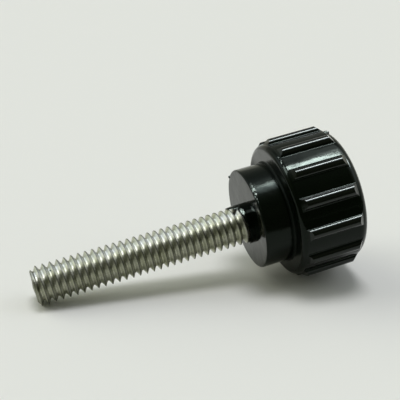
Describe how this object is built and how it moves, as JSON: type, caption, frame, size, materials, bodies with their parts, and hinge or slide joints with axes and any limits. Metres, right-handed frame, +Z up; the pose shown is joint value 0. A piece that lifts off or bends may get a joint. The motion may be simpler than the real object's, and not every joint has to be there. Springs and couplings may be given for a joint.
{
  "type": "thumb screw",
  "caption": "Thumb screw with a ribbed black plastic knob, a round hub and a zinc-plated threaded stud, lying on its side.",
  "frame": {"origin": "middle of the screw's footprint, on the surface that it lies on", "axes": "+X runs from the stud's tip to the knob, +Z is up; the screw's own axis climbs about 10.5 degrees towards the knob"},
  "size_m": [0.0662, 0.0292, 0.03],
  "materials": {
    "black_plastic": "moulded black plastic, polished, with faint flow marks",
    "zinc_plated_steel": "rolled thread with bright zinc plating"
  },
  "bodies": {
    "root": {"knob": "black_plastic", "threaded_stud": "zinc_plated_steel"}
  },
  "joints": []
}
